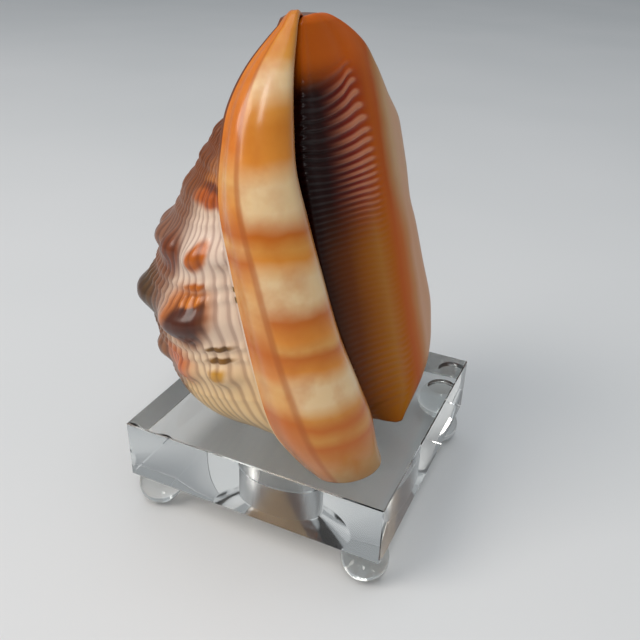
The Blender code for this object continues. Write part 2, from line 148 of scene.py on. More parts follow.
TABLE_REACH = 6.0
table_mesh = bpy.data.meshes.new("table")
corners = [(-TABLE_REACH, -TABLE_REACH, 0), (TABLE_REACH, -TABLE_REACH, 0),
           (TABLE_REACH, TABLE_REACH, 0), (-TABLE_REACH, TABLE_REACH, 0)]
table_mesh.from_pydata(corners, [], [(0, 1, 2, 3)])
table = bpy.data.objects.new("table", table_mesh)
scene.collection.objects.link(table)
table_paint, tree = new_material("matt_white_laminate")
where = add(tree, "ShaderNodeTexCoord")
cloud = add(tree, "ShaderNodeTexNoise", {"Vector": where.outputs["Object"], "Scale": 3.0, "Detail": 2.0})
tone = add(tree, "ShaderNodeValToRGB", {"Fac": cloud.outputs["Fac"]},
           stops=((0.3, "#DADCDD"), (0.7, "#E0E1E2")))
finish_with(tree, add(tree, "ShaderNodeBsdfPrincipled", {"Base Color": tone.outputs["Color"],
                                                        "Roughness": 0.55}))
table_mesh.materials.append(table_paint)


def softbox(name, aim, around, above, distance, width, height, watts, code):
    """An area light that looks at a point from an angle round it and an angle above it."""
    light = bpy.data.lights.new(name, "AREA")
    light.shape = "RECTANGLE"
    light.size = width
    light.size_y = height
    light.energy = watts
    light.color = linear(code)[:3]
    lamp = bpy.data.objects.new(name, light)
    turn, tilt = radians(around), radians(above)
    away = Vector((sin(turn) * cos(tilt), -cos(turn) * cos(tilt), sin(tilt)))
    lamp.location = aim + away * distance
    lamp.rotation_euler = away.to_track_quat("Z", "Y").to_euler()
    scene.collection.objects.link(lamp)


AIM = BLOCK_TOP + Vector((0, 0, 0.06))
softbox("key", AIM, -38, 42, 1.6, 0.8, 0.8, 13.0, "#FFF8F0")
softbox("glint", AIM, 26, 57, 1.3, 0.23, 0.5, 3.0, "#FFFDF8")
softbox("overhead", AIM, 0, 88, 2.6, 2.4, 2.4, 20.0, "#F4F8FF")

# %% [markdown]
# The shell is lofted from level outlines. Each outline runs clockwise from the lip's inner edge: over
# the thick lip, through the groove behind it, round the body whorl, out on the shield's flange, across
# the shield and the columella, and back through the hollow. The tables are measures in millimetres in
# the shell's own frame, whose aperture faces -y. The outlines, knobs and folds are those of the plain
# shell, so the dressed one lies on it. The cords and the low folds are added here.

# %% Measures of the shell
SHELL_TURN = radians(84.0)
PLANE_AT_BASE = -39.0
PLANE_LEAN = 0.261
COIL_AXIS = np.array([-1.5, 2.0])
LOWEST_ROW = 1.2
HIGHEST_ROW = 135.5
TIP_CENTRE = np.array([-6.5, 1.5])
TIP_RISE = 1.3
SPIRE_DEPTH = 17.0
LIP_EDGE = [(-2, -18), (6, -19.6), (17, -20), (31, -23.5), (47, -27.7), (67, -30.3), (86, -32),
            (97, -32.7), (111, -29.4), (124.5, -24), (136, -17.4), (140, -15.5)]
LIP_BACK = [(-1, -40.6, -26.6), (6, -44.5, -23.5), (15.3, -48.7, -19.1), (35, -51.2, -13),
            (52, -51, -8.4), (71.5, -50.3, -3.3), (91.7, -48, 2), (104.8, -43.6, 3.8),
            (115.4, -38.8, 4.6), (125.6, -30.6, 3.8), (134.6, -21, 1.1), (140, -16.5, -2)]
SHIELD_EDGE = [(-1, 0), (1.5, 6), (4.5, 15.3), (10.7, 28.5), (15.8, 33.5), (24.9, 37.7), (33.6, 39.7),
               (48.3, 38.2), (65, 36.8), (73.5, 35.3), (86, 36.3), (99.5, 36.1), (110.4, 30.4),
               (120.4, 25), (128.8, 18), (135, 6.8), (138.3, -2)]
BODY_RADIUS = [(-2, 31), (0, 32), (5, 38), (10, 43.3), (15, 46.8), (20, 48.6), (30, 50.4), (36, 51.8),
               (42, 53), (50, 53.5), (60, 50.8), (70, 48), (80, 43), (90, 37.5), (100, 31.6),
               (110, 23.5), (120, 16), (130, 11.5), (138, 8)]
BODY_ROUND = [(-60, 0.95), (-30, 0.97), (0, 0.97), (45, 0.98), (90, 1.0), (120, 1.01), (150, 0.995),
              (180, 0.95), (205, 0.88)]
ROW_CLIMB = [(-60, -7), (90, -3), (130, -1.4), (163, 0), (177, 3), (186, 4.5), (205, 6)]
APERTURE_WIDTH = [(-1, 16), (5, 13), (12, 10), (30, 10), (50, 11), (90, 12), (110, 11), (124, 8.5),
                  (130, 6.5), (138, 4)]
HOLLOW_SHARE = [(-1, 0.08), (6, 0.12), (14, 0.35), (26, 0.85), (36, 1), (122, 1), (130, 0.75),
                (135.5, 0.3), (140, 0.25)]
SHIELD_FLANGE = [(-1, 0.12), (6, 0.35), (14, 0.75), (30, 1), (100, 1), (115, 0.8), (125, 0.55),
                 (133, 0.35), (138, 0.2)]
SPIRE_PROFILE = [(0, -SPIRE_DEPTH), (9, -13), (17, -8.6), (24, -3.5), (26.3, -1.6), (29.8, 0.9),
                 (33, 0.9), (70, 0.9)]
KNOB_ROWS = [
    (29.8, 4.0, 2.6, 0.8, 6.0, 20.0, (139.5, 162, 180)),
    (49.2, 5.8, 4.2, 1.2, 10.5, 33.5, (130, 163.5)),
    (70.5, 4.4, 2.4, 0.8, 5.6, 16.0, (131.5, 146.5, 165, 178)),
    (87.0, 3.2, 0.9, 0.5, 4.0, 13.0, (139, 152, 165, 177)),
    (96.5, 1.9, 0.7, 0.35, 3.0, 9.0, (135, 144, 153, 162, 171)),
    (104.0, 2.4, 1.1, 0.3, 3.4, 11.0, (133, 145, 157, 169)),
]
FIRST_ANGLE = -60.0
# Beaded cords between the rows of knobs: height, half width, height of the beads
CORDS = [(20, 0.9, 0.35), (35.8, 1.4, 1.0), (40, 1.4, 1.0), (56.4, 1.5, 1.1), (61, 1.5, 1.1),
         (79.6, 1.0, 0.5), (83, 1.0, 0.4), (92.7, 0.9, 0.4), (100.5, 1.0, 0.5), (110, 0.9, 0.35)]
FOLDS_BELOW = [(0, 0), (14, 5), (36, 14), (75, 33), (84.8, 38), (87, 39), (91, 41), (95.8, 43),
               (98.8, 44), (101.6, 45), (105.3, 46), (108.8, 47), (112.2, 48), (115.5, 49), (118.4, 50),
               (122, 51), (124.5, 52)]
FOLD_LEAN = [(10, -0.34), (25, -0.36), (70, -0.28), (85, -0.20), (93, -0.12), (101, -0.04),
             (108.5, 0.05), (113, 0.17), (119, 0.31), (124, 0.36)]
FOLD_BEND = [(60, 0), (85, 0.003), (95, 0.006), (108, 0.0075), (113, 0.011), (118, 0.0155),
             (124, 0.014)]
FOLD_RELIEF = [(2, 0), (12, 0.25), (25, 0.35), (38, 0.18), (60, 0.12), (74, 0.4), (84, 0.8), (100, 1.1),
               (114, 1.0), (121, 0.65), (125, 0)]
STRETCHES = (("lip", 8), ("groove", 1), ("body", 12), ("flange", 2), ("shield", 4),
             ("columella", 4), ("hollow", 12))
FIRST = {}
total = 0
for stretch, count in STRETCHES:
    FIRST[stretch] = total
    total += count
FIRST["end"] = total
print("outline has", total, "control points")

# %% [markdown]
# Three helpers turn given points into smooth lines: a cubic that never overshoots its points, the
# cubic piece that it is made of, and a way to pair up x and y. An outline is then a few short
# functions, one for each part of the shell.

# %% Smooth lines


def blend(start, end, leave, arrive, t, reach):
    """Cubic from start to end at share t, with the slopes given for each end."""
    return ((2 * t**3 - 3 * t**2 + 1) * start + (t**3 - 2 * t**2 + t) * reach * leave
            + (3 * t**2 - 2 * t**3) * end + (t**3 - t**2) * reach * arrive)


def curve(points, at):
    """Smooth line through (position, value, ...) points, without overshoot, held past its ends."""
    rows = np.array(points, float)
    places = rows[:, 0]
    values = rows[:, 1:]
    gap = np.diff(places)
    slope = np.diff(values, axis=0) / gap[:, None]
    share = (gap[:-1] / (gap[:-1] + gap[1:]))[:, None]
    middle = slope[:-1] * (1 - share) + slope[1:] * share
    steepest = 3 * np.minimum(abs(slope[:-1]), abs(slope[1:]))
    tangent = np.vstack([slope[:1], middle, slope[-1:]])
    turns = slope[:-1] * slope[1:] <= 0
    tangent[1:-1] = np.where(turns, 0, np.clip(middle, -steepest, steepest))
    at = np.clip(np.asarray(at, float), places[0], places[-1])
    i = np.clip(np.searchsorted(places, at) - 1, 0, len(gap) - 1)
    result = blend(values[i], values[i + 1], tangent[i], tangent[i + 1],
                   ((at - places[i]) / gap[i])[..., None], gap[i][..., None])
    return result[..., 0] if result.shape[-1] == 1 else result


def pair(x, y):
    """Points with the x and y of two arrays or numbers."""
    x, y = np.broadcast_arrays(x, y)
    return np.stack([x, y], -1)


# %% Outline of the lip and the body whorl


def aperture_plane(z):
    """The y of the plane that the lip's edge and the shield lie in."""
    return PLANE_AT_BASE + PLANE_LEAN * z


def on_whorl(angle, radius):
    """Points at an angle in degrees and a radius about the coil's axis."""
    turn = np.radians(angle)
    return COIL_AXIS + pair(np.cos(turn) * radius, np.sin(turn) * radius)


def angle_and_radius(points):
    """Angle in degrees, counted up from the shield's side, and radius about the coil's axis."""
    offset = points[..., :2] - COIL_AXIS
    angle = np.degrees(np.arctan2(offset[..., 1], offset[..., 0]))
    return np.where(angle < -120, angle + 360, angle), np.hypot(offset[..., 0], offset[..., 1])


def row_height(angle, z):
    """Height measured along the spiral rows, which climb towards the lip."""
    upper = 1 - curve([(95, 0), (125, 1)], z)
    lower = curve([(0, 0), (25, 1)], z)
    return z - curve(ROW_CLIMB, angle) * upper * lower


def body_radius(angle, z):
    """Radius of the body whorl between its knobs."""
    factor = curve(BODY_ROUND, angle)
    under_shield = np.clip((60 - angle) / 80, 0, 1) * 0.10 * np.clip((z - 50) / 50, 0, 1)
    return curve(BODY_RADIUS, row_height(angle, z)) * (factor + under_shield)


def lip_points(z):
    """The rolled outer lip, from its inner edge over its crown to its back edge."""
    edge = pair(curve(LIP_EDGE, z), aperture_plane(z))
    back = curve(LIP_BACK, z)
    across = back - edge
    width = np.linalg.norm(across, axis=-1)
    outward = pair(-across[:, 1], across[:, 0]) / width[:, None]
    points = [edge]
    for degrees in (12, 38, 66, 92, 120, 150):
        turn = radians(degrees)
        crown = (0.42 * width * sin(turn)**0.92)[:, None]
        points.append(edge + across * (1 - cos(turn)) / 2 + outward * crown)
    return points + [back]


def body_points(z, start, end_angle):
    """The body whorl, from its groove behind the lip round to the back of the shield."""
    start_angle, start_radius = angle_and_radius(start)
    step_up = start_radius - body_radius(start_angle, z)
    points = [start]
    for share in np.linspace(0, 1, 12)[1:]:
        angle = start_angle + (end_angle - start_angle) * share
        near_lip = np.clip(1 - (start_angle - angle) / 30, 0, 1)**2
        points.append(on_whorl(angle, body_radius(angle, z) + step_up * near_lip))
    return points


# %% Outline of the hollow, the shield and the columella


def hollow_points(z, columella_end, lip_edge):
    """The hollow behind the aperture, shallow near both ends of the shell and deep between."""
    plane = aperture_plane(z)
    radius = curve(BODY_RADIUS, z)
    depth = COIL_AXIS[1] + radius - plane
    wall = np.minimum(5.5, 0.2 * radius + 1)
    x = columella_end[:, 0]
    full = [pair(x - 0.5, plane + 0.19 * depth),
            pair(x + 0.2, plane + 0.32 * depth),
            pair(x + 2.5, plane + 0.47 * depth),
            on_whorl(82, body_radius(82, z) - wall - 0.15 * radius)]
    for angle in (103, 125, 147, 166):
        full.append(on_whorl(angle, body_radius(angle, z) - wall))
    full.append(pair(lip_edge[:, 0] - 0.16 * np.minimum(30, radius), plane + 0.24 * depth))
    full.append(pair(lip_edge[:, 0] - 0.03 * depth, plane + 0.12 * depth))
    open_share = curve(HOLLOW_SHARE, z)[:, None]
    points = [columella_end]
    for i, deep in enumerate(full):
        share = (i + 1) / (len(full) + 1)
        dip = np.minimum(7, 0.3 * depth) * sin(pi * share)**0.7
        shallow = columella_end * (1 - share) + lip_edge * share + pair(0, dip)
        points.append(shallow * (1 - open_share) + deep * open_share)
    return points + [lip_edge + np.array([-0.35, 0.9])]


def outline_points(z):
    """Control points of the level outlines at the heights z: an array of heights, points, x and y."""
    plane = aperture_plane(z)
    lip = lip_points(z)
    roll = curve([(-1, 0.5), (10, 1), (100, 1), (125, 0.7), (139, 0.3)], z)[:, None]
    groove = lip[-1] + roll * np.array([0.6, 2.3])
    body_start = lip[-1] + roll * np.array([3.2, 2.4])
    flange = curve(SHIELD_FLANGE, z)[:, None]
    shield_edge = pair(curve(SHIELD_EDGE, z), plane)
    flange_back = shield_edge + flange * np.array([5.2, 9.0])
    body = body_points(z, body_start, angle_and_radius(flange_back)[0] + 15)
    flange_root = body[-1] * 0.35 + flange_back * 0.65 + flange * np.array([0.6, 2.0])
    columella_x = lip[0][:, 0] + curve(APERTURE_WIDTH, z)
    face_x = np.minimum(13, columella_x + (shield_edge[:, 0] - columella_x) * 0.55)
    swell = curve([(-1, 0.3), (15, 1.3), (100, 1.3), (125, 0.7), (138, 0.1)], z)
    shield = [shield_edge]
    for share, rise in ((0.72, 0.75), (0.42, 1.0), (0.15, 0.6)):
        shield.append(pair(face_x + (shield_edge[:, 0] - face_x) * share, plane - swell * rise))
    dip = np.minimum(8, 0.11 * (COIL_AXIS[1] + curve(BODY_RADIUS, z) - plane))
    columella = []
    for share in (1.0, 0.7, 0.42, 0.18):
        columella.append(pair(columella_x + (face_x - columella_x) * share, plane + dip * (1 - share)**2))
    hollow = hollow_points(z, pair(columella_x, plane + dip), lip[0])
    everything = lip + [groove] + body + [flange_root, flange_back] + shield + columella + hollow
    return np.stack(everything, 1)


# %% [markdown]
# The folds across the columella drop into the aperture as they go, so the rows of the mesh are bent to
# run along them: then a ridge is simply every few rows lifted, and stays crisp with few faces. Columns
# are closest on the whorl, three to each growth rib, one of which is the groove between ribs.

# %% Fine grid of the shell
TABLE_HEIGHTS = np.linspace(-2, 140, 285)
TABLE = outline_points(TABLE_HEIGHTS)
COLUMNS_PER_RIB = 3
MAIN_ROWS = 262


def control_at(point, z):
    """One control point of the outline at the heights z, with those heights."""
    x = np.interp(z, TABLE_HEIGHTS, TABLE[:, point, 0])
    y = np.interp(z, TABLE_HEIGHTS, TABLE[:, point, 1])
    return np.stack([x, y, z], -1)


def fold_slope(point, z):
    """How far a fold has dropped or climbed from the shield's edge of it to this control point."""
    place = control_at(point, z)
    depth = np.clip(place[:, 1] - aperture_plane(z), 0, 9)
    seen_x = place[:, 0] - 1.71 * depth
    return -1.39 * depth + curve(FOLD_LEAN, z) * seen_x + curve(FOLD_BEND, z) * seen_x**2


def row_heights_at(rows):
    """Height of every control point on every row. Rows follow the folds across the columella."""
    columella = FIRST["columella"]
    hollow = FIRST["hollow"]
    fade = curve([(LOWEST_ROW, 0), (16, 1), (112, 1), (130, 0)], rows)
    near_base = 1 - curve([(LOWEST_ROW, 0), (14, 1)], rows)
    heights = []
    for point in range(FIRST["end"]):
        follow = np.interp(point, [columella - 3, columella, hollow + 1, hollow + 5], [0, 1, 1, 0])
        on_block = point <= FIRST["groove"] or point >= FIRST["flange"] + 1
        foot = 0.4 if on_block else LOWEST_ROW
        heights.append(rows + follow * fade * fold_slope(point, rows) + (foot - LOWEST_ROW) * near_base)
    return np.stack(heights, 1)


def smooth_rows(rows, steps):
    """Points of every row, steps[i] of them after control point i, and their place on the outline."""
    heights = row_heights_at(rows)
    points = np.stack([control_at(i, heights[:, i]) for i in range(FIRST["end"])], 1)
    following = np.roll(points, -1, 1)
    reach = np.linalg.norm((following - points)[..., :2], axis=-1)[..., None] + 1e-9
    slope = (following - points) / reach
    before = np.roll(reach, 1, 1)
    share = before / (before + reach)
    tangent = np.roll(slope, 1, 1) * (1 - share) + slope * share
    arriving = np.roll(tangent, -1, 1)
    columns = []
    places = []
    for i, count in enumerate(steps):
        for j in range(count):
            columns.append(blend(points[:, i], following[:, i], tangent[:, i], arriving[:, i],
                                 j / count, reach[:, i]))
            places.append(i + j / count)
    return np.stack(columns, 1), np.array(places)


def column_steps():
    """Columns after each control point of the outline."""
    each = {"lip": 8, "groove": 4, "body": 15, "flange": 4, "shield": 5, "columella": 6, "hollow": 3}
    steps = []
    for name, count in STRETCHES:
        steps += [each[name]] * count
    steps[FIRST["flange"] - 1] = 6
    return steps


rows = np.linspace(LOWEST_ROW, HIGHEST_ROW, MAIN_ROWS)
plain, places = smooth_rows(rows, column_steps())
print("grid", plain.shape[:2])

# %% [markdown]
# The underside is closed with rings that follow the low spire down into the bore, and the top with
# rings that round off lip and columella and dip between them, where the canal leaves the shell.

# %% Close the spire and the tip
BASE_RINGS = 24
TIP_RINGS = 10
SPIRE_REACH = 29.8
SPIRE_CLEARANCE = 33.0


def base_rows(lowest):
    """Rings from the spire's tip out to the lowest row, over the underside of the shell."""
    reach = np.hypot(lowest[:, 0], lowest[:, 1])
    rings = []
    for radius in np.linspace(0, SPIRE_REACH, BASE_RINGS + 1)[1:]:
        share = radius * np.minimum(1, reach / SPIRE_CLEARANCE) / reach
        rings.append(np.column_stack([lowest[:, :2] * share[:, None], curve(SPIRE_PROFILE, share * reach)]))
    return rings


def tip_rows(highest, places):
    """Rings over the top of lip and columella, closing between them at the canal."""
    hollow = FIRST["hollow"]
    corners = [0, 3, 7, 10, 20, FIRST["shield"], FIRST["columella"], hollow, hollow + 2, 40, 43]
    rise = np.interp(places, corners, [2.6, 3.9, 3.6, 1.6, 1.6, 2.0, 2.2, 1.6, 0.4, 0.6, 2.6])
    rings = []
    for share in np.linspace(0, 1, TIP_RINGS + 2)[1:-1]:
        flat = TIP_CENTRE + (highest[:, :2] - TIP_CENTRE) * (1 - share)
        lift = sin(pi / 2 * min(1, share / 0.5))
        settle = max(0, (share - 0.5) / 0.5)
        z = (highest[:, 2] + rise * lift) * (1 - settle) + (HIGHEST_ROW + TIP_RISE) * settle
        rings.append(np.column_stack([flat, z]))
    return rings


base = base_rows(plain[0])
tip = tip_rows(plain[-1], places)
grid = np.stack(base + list(plain) + tip)
grid_rows = np.concatenate([[LOWEST_ROW] * len(base), rows, [HIGHEST_ROW] * len(tip)])
print("rings", len(grid), "triangles", 2 * grid.shape[0] * grid.shape[1])

# %% [markdown]
# What a snail builds is a rule repeated as it grows: knobs in rows that wind with the whorl, cords of
# beads between them, growth ribs across both, and folds on the columella. So the relief is not drawn
# but counted. Every vertex carries where it lies on the whorl and how many ribs and folds lie before
# it, and a Geometry Nodes tree turns these counts into height.

# %% Counts and places on the shell


def knob_relief(angle, height):
    """How far the rows of knobs stand off the body whorl."""
    relief = np.zeros_like(height)
    for level, spread, knob, ridge, half_width, step, seen in KNOB_ROWS:
        band = np.exp(-((height - level) / spread)**2)
        hidden = np.arange(seen[0] - step, FIRST_ANGLE, -step)
        bumps = 0
        for place in (*seen, *hidden):
            reach = np.hypot((height - level) / spread, (angle - place) / half_width)
            bumps = bumps + np.exp(-reach**3)
        relief += band * ridge + knob * np.minimum(bumps, 1.1)
    return relief


angle, radius = angle_and_radius(grid)
height = row_height(angle, grid[..., 2])
height[:len(base)] = grid[:len(base), :, 2]
body = FIRST["body"]
flange = FIRST["flange"]
columella = FIRST["columella"]
hollow = FIRST["hollow"]
on_body = np.interp(places, [body, body + 0.25, flange - 1.5, flange - 0.6], [0, 1, 1, 0])
on_main = np.zeros(len(grid))
on_main[len(base):len(base) + len(rows)] = 1
on_main = on_main[:, None]
knob = knob_relief(angle, height) * on_body * on_main
cord = sum(bead * np.exp(-((height - level) / spread)**2) for level, spread, bead in CORDS)
cord = cord * on_body * on_main
smooth_on_knobs = 1 - 0.8 * np.clip((knob - 1.6) / 3.0, 0, 1)
rib_share = on_body * on_main * smooth_on_knobs
across_folds = np.interp(places, [columella - 1.2, columella, hollow, hollow + 1.5, hollow + 3],
                         [0, 0.75, 0.9, 0.4, 0])
fold_share = curve(FOLD_RELIEF, grid_rows)[:, None] * across_folds * on_main
fold_count = np.broadcast_to(curve(FOLDS_BELOW, grid_rows)[:, None], height.shape)
rib_count = np.broadcast_to(np.arange(len(places)) / COLUMNS_PER_RIB, height.shape)
outline_place = np.broadcast_to(places, height.shape)
LIP, WHORL, SHIELD = 0, 1, 2
LIP_GLAZE_END = 7.4
zone = np.where(outline_place < LIP_GLAZE_END, LIP, np.where(outline_place < flange, WHORL, SHIELD))
spire = np.zeros(len(grid), bool)
spire[:len(base) - 1] = True
zone = np.where(spire[:, None], WHORL, zone)
print("knobs up to", round(float(knob.max()), 2), "mm, ribs", round(len(places) / COLUMNS_PER_RIB))

# %% [markdown]
# The plain shell is written straight into a mesh: rings of vertices joined by quads, with a point at
# the spire and one at the tip. Its frame is turned 84 degrees so that the aperture meets the camera.

# %% Plain shell mesh


def to_row_frame(points):
    """Points of the shell's own frame, in millimetres, as metres in the frame of the whole object."""
    x, y, z = points[..., 0], points[..., 1], points[..., 2]
    turned = np.stack([cos(SHELL_TURN) * x - sin(SHELL_TURN) * y,
                       sin(SHELL_TURN) * x + cos(SHELL_TURN) * y, z], -1)
    return turned * MM + np.array(BLOCK_TOP)


def ring_mesh(name, rings, first_tip, last_tip):
    """A closed mesh over rings of points whose columns run clockwise, with a point at each end."""
    rings_count, columns = rings.shape[:2]
    points = np.vstack([rings.reshape(-1, 3), first_tip, last_tip])
    start = rings_count * columns
    here = np.arange(columns)
    after = np.roll(here, -1)
    faces = []
    for ring in range(rings_count - 1):
        lower, upper = ring * columns, (ring + 1) * columns
        faces += np.column_stack([lower + here, upper + here, upper + after, lower + after]).tolist()
    faces += np.column_stack([np.full(columns, start), here, after]).tolist()
    top = (rings_count - 1) * columns
    faces += np.column_stack([np.full(columns, start + 1), top + after, top + here]).tolist()
    mesh = bpy.data.meshes.new(name)
    mesh.from_pydata(points.tolist(), [], faces)
    return mesh


def store(mesh, name, kind, values, ends):
    """Writes a value for every vertex: the grid's values, then those of the two end points."""
    field = mesh.attributes.new(name, kind, "POINT")
    width = 3 if kind == "FLOAT_VECTOR" else 1
    flat = np.concatenate([np.asarray(values, float).reshape(-1), np.asarray(ends, float).reshape(-1)])
    field.data.foreach_set("vector" if width == 3 else "value", flat.astype(np.float32))


spire_end = np.array([0.0, 0.0, -SPIRE_DEPTH])
tip_end = np.append(TIP_CENTRE, HIGHEST_ROW + TIP_RISE)
shell_mesh = ring_mesh("shell_plain", to_row_frame(grid), to_row_frame(spire_end), to_row_frame(tip_end))
outward = np.concatenate([(grid[..., :2] - COIL_AXIS) / radius[..., None], np.zeros((*radius.shape, 1))], -1)
outward = (to_row_frame(outward) - np.array(BLOCK_TOP)) / MM
growth = np.stack([angle, height, outline_place], -1)
store(shell_mesh, "place", "FLOAT_VECTOR", grid, [spire_end, tip_end])
store(shell_mesh, "growth", "FLOAT_VECTOR", growth, [[0, -SPIRE_DEPTH, 15], [0, HIGHEST_ROW, 40]])
store(shell_mesh, "outward", "FLOAT_VECTOR", outward, np.zeros((2, 3)))
for name, values in (("knob", knob), ("cord", cord), ("rib_share", rib_share), ("rib_count", rib_count),
                     ("fold_share", fold_share), ("fold_count", fold_count)):
    store(shell_mesh, name, "FLOAT", values, [0, 0])
store(shell_mesh, "zone", "FLOAT", zone, [WHORL, SHIELD])
print("shell vertices", len(shell_mesh.vertices))

# %% [markdown]
# Nacre-free shell is aragonite laid down in layers, under a glaze as hard and glossy as porcelain.
# The lip shows it best: broad cream bands on orange, with a soft edge between them because the colour
# lies in several thin layers. The bands are a colour ramp along the height, its lookup bent by noise.

# %% Where a material finds itself on the shell


def shell_places(tree):
    """Angle, row height and outline place, then own-frame x, y and z in millimetres, as sockets."""
    growth = add(tree, "ShaderNodeAttribute", attribute_name="growth")
    place = add(tree, "ShaderNodeAttribute", attribute_name="place")
    counted = add(tree, "ShaderNodeSeparateXYZ", {0: growth.outputs["Vector"]})
    measured = add(tree, "ShaderNodeSeparateXYZ", {0: place.outputs["Vector"]})
    return [*counted.outputs, *measured.outputs, place.outputs["Vector"]]


def warped(tree, value, place, size, amount):
    """A value pushed up and down by smooth noise with lumps of this size in millimetres."""
    lumps = add(tree, "ShaderNodeTexNoise", {"Vector": place, "Scale": 1 / size, "Detail": 2.0})
    push = add(tree, "ShaderNodeMapRange", {0: lumps.outputs["Fac"], 1: 0.0, 2: 1.0,
                                            3: -amount, 4: amount})
    return add(tree, "ShaderNodeMath", {0: value, 1: push.outputs[0]}, operation="ADD").outputs[0]


def between(tree, value, start, end):
    """Rises smoothly from 0 where the value is start to 1 where it is end."""
    low, high, first, last = (start, end, 0.0, 1.0) if start < end else (end, start, 1.0, 0.0)
    return add(tree, "ShaderNodeMapRange", {0: value, 1: low, 2: high, 3: first, 4: last},
               interpolation_type="SMOOTHSTEP").outputs[0]


def patch(tree, across, up, centre, size, soft=0.35):
    """A soft round or oval patch: 1 inside, 0 outside, on two coordinates."""
    offset = []
    for value, middle, half in zip((across, up), centre, size):
        away = add(tree, "ShaderNodeMath", {0: value, 1: middle}, operation="SUBTRACT")
        offset.append(add(tree, "ShaderNodeMath", {0: away.outputs[0], 1: half}, operation="DIVIDE"))
    point = add(tree, "ShaderNodeCombineXYZ", {0: offset[0].outputs[0], 1: offset[1].outputs[0]})
    distance = add(tree, "ShaderNodeVectorMath", {0: point.outputs[0]}, operation="LENGTH")
    return between(tree, distance.outputs["Value"], 1 + soft, 1 - soft)


def times(tree, *factors):
    """The product of several masks."""
    product = factors[0]
    for factor in factors[1:]:
        product = add(tree, "ShaderNodeMath", {0: product, 1: factor}, operation="MULTIPLY").outputs[0]
    return product


def painted(tree, ground, layers, blend_type="MIX"):
    """Colours laid over a ground one after another, each through its own mask."""
    for mask, code in layers:
        colour = linear(code) if isinstance(code, str) else code
        ground = add(tree, "ShaderNodeMix", {0: mask, 6: ground, 7: colour}, data_type="RGBA",
                     blend_type=blend_type).outputs[2]
    return ground


# %% Glazed lip
lip_glaze, tree = new_material("aragonite_lip_glaze")
angle_at, row_at, outline_at, x_at, y_at, z_at, place_at = shell_places(tree)
bent = warped(tree, z_at, place_at, 14.0, 2.2)
share = add(tree, "ShaderNodeMath", {0: bent, 1: 140.0}, operation="DIVIDE").outputs[0]
CREAM, ORANGE, RUST = "#EAC897", "#DC8A2E", "#C4660F"
crown = add(tree, "ShaderNodeValToRGB", {"Fac": share}, stops=(
    (0.00, "#C79A68"), (0.05, "#D09E66"), (0.09, "#CC8234"), (0.125, RUST), (0.15, "#D2903E"),
    (0.175, RUST), (0.20, "#D48C36"), (0.235, CREAM), (0.275, CREAM), (0.315, ORANGE),
    (0.345, RUST), (0.362, "#DC9E50"), (0.385, ORANGE), (0.425, RUST), (0.462, CREAM),
    (0.51, CREAM), (0.55, ORANGE), (0.57, "#DA9440"), (0.60, RUST), (0.652, CREAM),
    (0.695, CREAM), (0.74, ORANGE), (0.80, "#CF7E22"), (0.83, "#D68C34"), (0.868, CREAM),
    (0.89, CREAM), (0.92, "#DA963E"), (1.0, "#CC7A1E")))
strip = add(tree, "ShaderNodeValToRGB", {"Fac": share}, stops=(
    (0.00, "#C98C5C"), (0.14, "#C87434"), (0.19, RUST), (0.235, "#E0A560"), (0.27, "#E2AE6C"),
    (0.30, "#D98A44"), (0.35, RUST), (0.41, "#DC9C58"), (0.46, "#E3B072"), (0.50, "#DF9C54"),
    (0.54, RUST), (0.575, "#E4AC6A"), (0.60, RUST), (0.66, "#DE9348"), (0.70, "#E3AC68"),
    (0.76, "#D97A28"), (0.86, "#DA7E2C"), (1.0, "#C8701E")))
on_strip = between(tree, outline_at, 5.0, 5.6)
colour = painted(tree, crown.outputs["Color"], [(on_strip, strip.outputs["Color"])])
spots = add(tree, "ShaderNodeTexNoise", {"Vector": place_at, "Scale": 0.11, "Detail": 3.0})
streaks = add(tree, "ShaderNodeMapRange", {0: spots.outputs["Fac"], 1: 0.42, 2: 0.7, 3: 0.0, 4: 0.5})
back_half = between(tree, outline_at, 1.6, 4.2)
inner = times(tree, between(tree, outline_at, 2.3, 0.9), between(tree, z_at, -2.0, 20.0))
rim = between(tree, outline_at, 0.55, 0.25)
# Painted shade: a thin darker line along the groove that parts the lip's roll from its outer strip; the
# lip's mesh has no groove there.
groove_shade_line = patch(tree, outline_at, z_at, (5.35, 70.0), (0.16, 90.0), 0.6)
colour = painted(tree, colour, [
    (times(tree, streaks.outputs[0], back_half), RUST), (times(tree, inner, 0.55), "#A8682E"),
    (times(tree, rim, 0.8), "#CFA48C"), (times(tree, groove_shade_line, 0.55), "#A85210")])
finish_with(tree, add(tree, "ShaderNodeBsdfPrincipled", {
    "Base Color": colour, "Roughness": 0.24, "IOR": 1.53, "Subsurface Weight": 0.12,
    "Subsurface Radius": (0.6, 0.3, 0.12), "Subsurface Scale": 0.003,
    "Specular IOR Level": 0.35, "Coat Weight": 0.2, "Coat Roughness": 0.08}))
